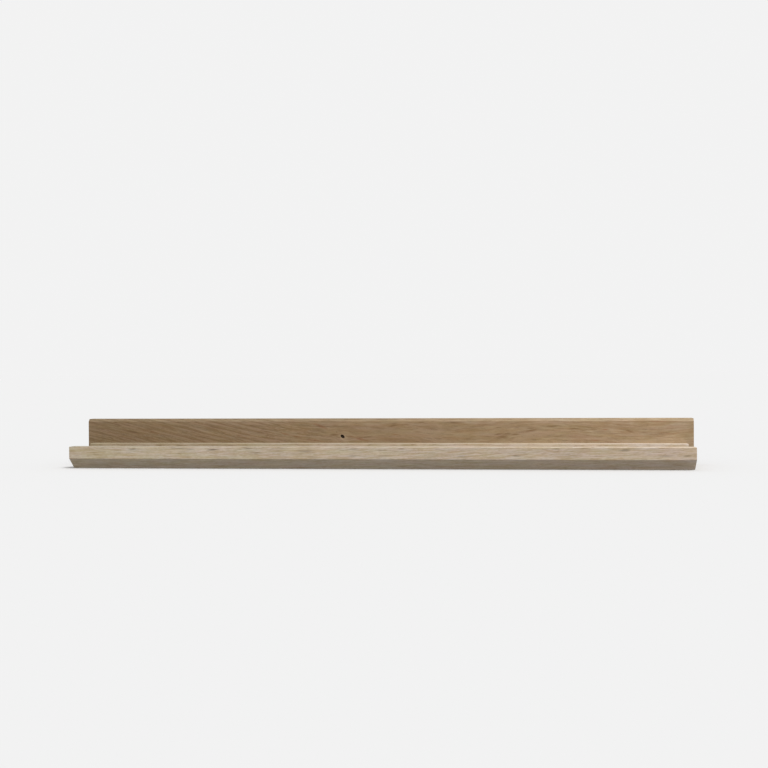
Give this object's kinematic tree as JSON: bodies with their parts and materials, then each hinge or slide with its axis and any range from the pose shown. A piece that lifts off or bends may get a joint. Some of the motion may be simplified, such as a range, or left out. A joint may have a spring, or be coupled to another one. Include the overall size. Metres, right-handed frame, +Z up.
{
  "type": "picture ledge",
  "caption": "Narrow wall ledge for leaning pictures: a shallow oak tray, open at both ends, with a deep bevel under its front lip, on a longer chamfered oak back board hung on keyhole plates.",
  "frame": {"origin": "the middle of the back board's rear face, on the plane of the wall", "axes": "+X to the right along the ledge as seen from the room, +Y into the wall, +Z up"},
  "size_m": [0.818, 0.114, 0.061],
  "materials": {
    "pale_oak": "bare sanded oak, pale straw, matt",
    "brown_oak": "bare sanded oak, mid brown, matt",
    "beech": "bare turned beech",
    "zinc_steel": "bright zinc plate",
    "hanger_steel": "pressed steel, dull zinc plate"
  },
  "bodies": {
    "root": {"back_board": "brown_oak", "front_lip": "pale_oak", "base_board": "pale_oak", "rear_rail": "pale_oak", "lip_dowel_1": "beech", "lip_dowel_2": "beech", "lip_dowel_3": "beech", "lip_dowel_4": "beech", "lip_dowel_5": "beech", "rail_dowel_1": "beech", "rail_dowel_2": "beech", "rail_dowel_3": "beech", "rail_dowel_4": "beech", "assembly_screw_1": "zinc_steel", "assembly_screw_2": "zinc_steel", "assembly_screw_3": "zinc_steel", "assembly_screw_4": "zinc_steel", "assembly_screw_5": "zinc_steel", "hanger_plate_left": "hanger_steel", "hanger_plate_right": "hanger_steel", "plate_screw_left_lower": "zinc_steel", "plate_screw_left_upper": "zinc_steel", "plate_screw_right_lower": "zinc_steel", "plate_screw_right_upper": "zinc_steel"}
  },
  "joints": []
}
